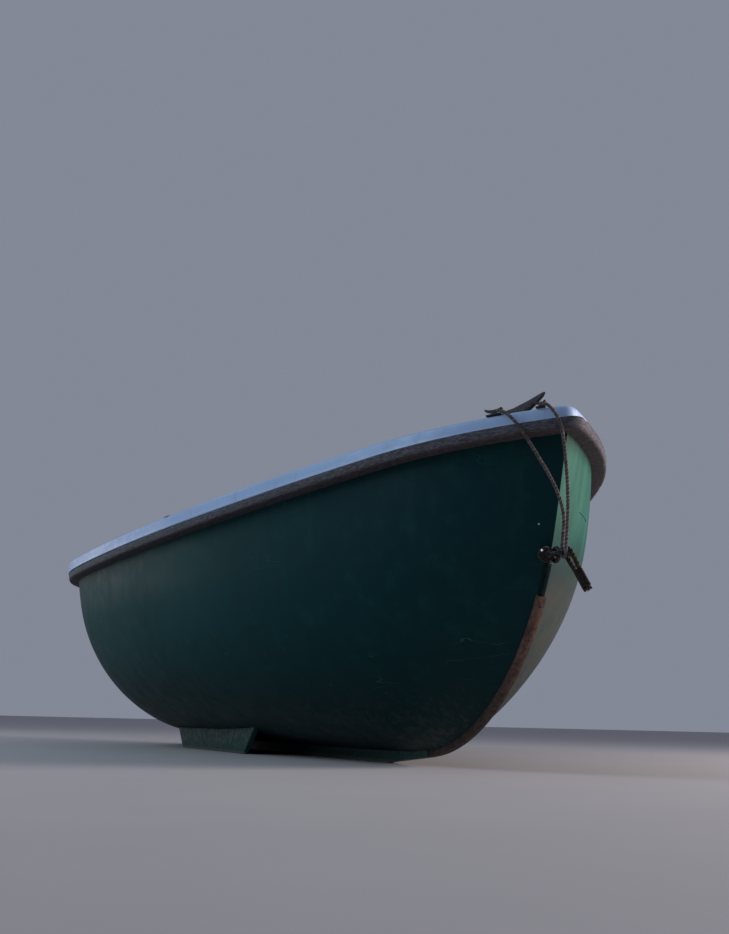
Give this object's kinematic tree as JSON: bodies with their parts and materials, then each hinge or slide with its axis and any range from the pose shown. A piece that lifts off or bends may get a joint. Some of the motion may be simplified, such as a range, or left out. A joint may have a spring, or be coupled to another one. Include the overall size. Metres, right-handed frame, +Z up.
{
  "type": "rowing boat",
  "caption": "Open plastic-hulled rowing boat with foredeck, thwarts, stern locker with hinged lid, rowlock sockets, rubbing rail, keel and bilge keels, and a rope bridle at the stem.",
  "frame": {"origin": "on the floor under the middle of the boat, on its centre line", "axes": "+X forward to the bow, +Y to port, +Z up"},
  "size_m": [4.1201, 1.8384, 1.1514],
  "materials": {
    "hull_grp": "worn gloss",
    "white_grp": "weathered",
    "deck_grp": "non-slip",
    "weathered_rail": "bare, weathered",
    "worn_band": "rusty",
    "galvanised": "dull zinc",
    "timber": "old varnish",
    "bronze": "tarnished",
    "dark_iron": "dark",
    "black_plastic": "matt",
    "tarred_line": "tarred",
    "rope": "weathered"
  },
  "bodies": {
    "boat": {"hull_shell": "hull_grp", "gunwale_cap": "white_grp", "transom_cap": "white_grp", "foredeck": "deck_grp", "bow_bulkhead": "deck_grp", "stern_locker": "deck_grp", "rub_rail": "weathered_rail", "keel": "hull_grp", "bilge_keels": "hull_grp", "stem_band": "worn_band", "rowlock_sockets": "galvanised", "forward_thwart": "timber", "middle_thwart": "timber", "thwart_risers": "timber", "thwart_posts": "timber", "floorboards": "timber", "floor_bearers": "timber", "foot_stretcher": "timber", "quarter_knees": "timber", "cleat_pad": "timber", "locker_hinges": "galvanised", "drain_plug": "bronze", "stern_handles": "galvanised", "stem_eye": "dark_iron", "shackle": "dark_iron", "stem_lashing": "tarred_line", "mooring_cleat": "dark_iron", "fairlead_starboard": "black_plastic", "fairlead_bow": "black_plastic", "strop": "tarred_line", "bridle_rope": "rope"},
    "locker_lid": {"locker_lid": "deck_grp", "lid_leaves": "galvanised"}
  },
  "joints": [
    {"name": "locker_lid_hinge", "type": "hinge", "parent": "boat", "child": "locker_lid", "pos_m": [-1.8884, 0, 0.566], "axis": [0, -1, 0], "range_deg": [0, 95]}
  ]
}
